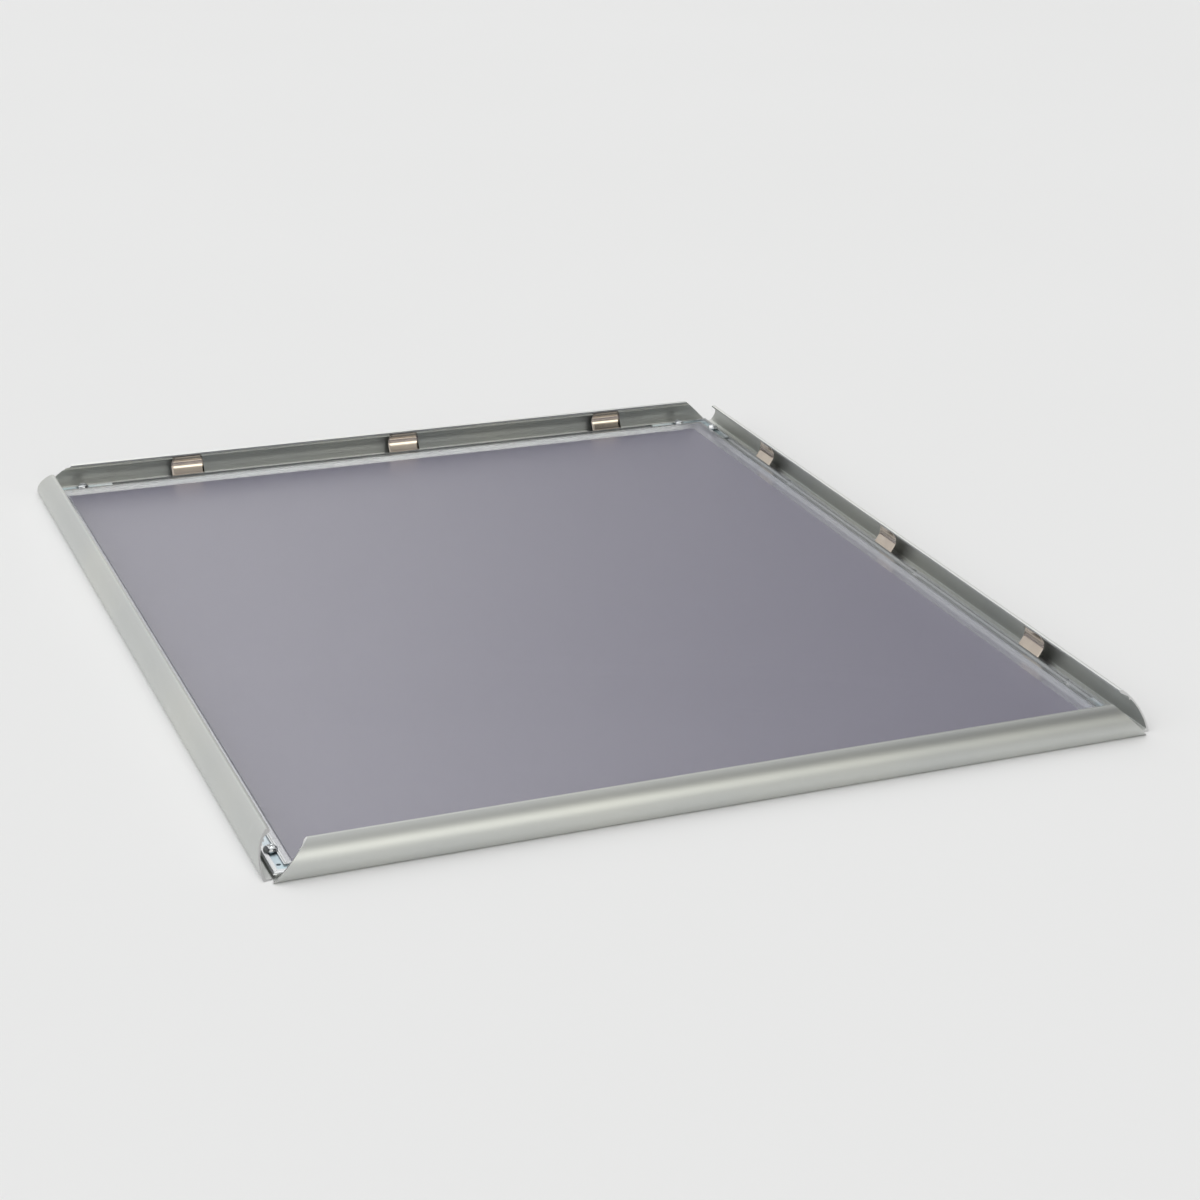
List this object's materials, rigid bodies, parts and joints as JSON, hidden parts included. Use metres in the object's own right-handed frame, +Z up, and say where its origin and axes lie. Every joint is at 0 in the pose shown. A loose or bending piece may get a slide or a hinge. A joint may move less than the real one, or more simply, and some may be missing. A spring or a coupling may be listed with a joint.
{
  "type": "snap frame",
  "caption": "Mitred aluminium poster frame with hinged snap rails standing open, leaf springs, corner brackets, a grey backing panel and a clear cover sheet.",
  "frame": {"origin": "centre of the frame on the surface that it lies on", "axes": "+X to the right along the front rail, +Y away to the back rail, +Z up out of the frame's face"},
  "size_m": [0.5406, 0.6426, 0.0199],
  "materials": {
    "base_aluminium": "satin anodised extrusion",
    "rail_aluminium": "satin anodised extrusion",
    "spring_steel": "bright spring steel strip",
    "zinc_plate": "bright zinc-plated pressing",
    "screw_steel": "bright zinc-plated",
    "grey_plastic": "fine matt sheet",
    "clear_film": "clear anti-glare sheet"
  },
  "bodies": {
    "base": {"base_rail_front": "base_aluminium", "base_rail_back": "base_aluminium", "base_rail_left": "base_aluminium", "base_rail_right": "base_aluminium", "corner_bracket_front_left": "zinc_plate", "corner_bracket_front_right": "zinc_plate", "corner_bracket_back_right": "zinc_plate", "corner_bracket_back_left": "zinc_plate", "clamp_screws_front_left": "screw_steel", "clamp_screws_front_right": "screw_steel", "clamp_screws_back_right": "screw_steel", "clamp_screws_back_left": "screw_steel", "backing_panel": "grey_plastic", "cover_sheet": "clear_film"},
    "snap_front": {"snap_rail_front": "rail_aluminium", "spring_front_1": "spring_steel", "spring_front_2": "spring_steel", "spring_front_3": "spring_steel"},
    "snap_back": {"snap_rail_back": "rail_aluminium", "spring_back_1": "spring_steel", "spring_back_2": "spring_steel", "spring_back_3": "spring_steel"},
    "snap_left": {"snap_rail_left": "rail_aluminium", "spring_left_1": "spring_steel", "spring_left_2": "spring_steel", "spring_left_3": "spring_steel"},
    "snap_right": {"snap_rail_right": "rail_aluminium", "spring_right_1": "spring_steel", "spring_right_2": "spring_steel", "spring_right_3": "spring_steel"}
  },
  "joints": [
    {"name": "front_rail_hinge", "type": "hinge", "parent": "base", "child": "snap_front", "pos_m": [0, -0.31395, 0.002], "axis": [-1, 0, 0], "range_deg": [0, 80], "deforming": ["spring_front_1", "spring_front_2", "spring_front_3"]},
    {"name": "back_rail_hinge", "type": "hinge", "parent": "base", "child": "snap_back", "pos_m": [0, 0.31395, 0.002], "axis": [1, 0, 0], "range_deg": [0, 80], "deforming": ["spring_back_1", "spring_back_2", "spring_back_3"]},
    {"name": "left_rail_hinge", "type": "hinge", "parent": "base", "child": "snap_left", "pos_m": [-0.26295, 0, 0.002], "axis": [0, 1, 0], "range_deg": [0, 80], "deforming": ["spring_left_1", "spring_left_2", "spring_left_3"]},
    {"name": "right_rail_hinge", "type": "hinge", "parent": "base", "child": "snap_right", "pos_m": [0.26295, 0, 0.002], "axis": [0, -1, 0], "range_deg": [0, 80], "deforming": ["spring_right_1", "spring_right_2", "spring_right_3"]}
  ]
}
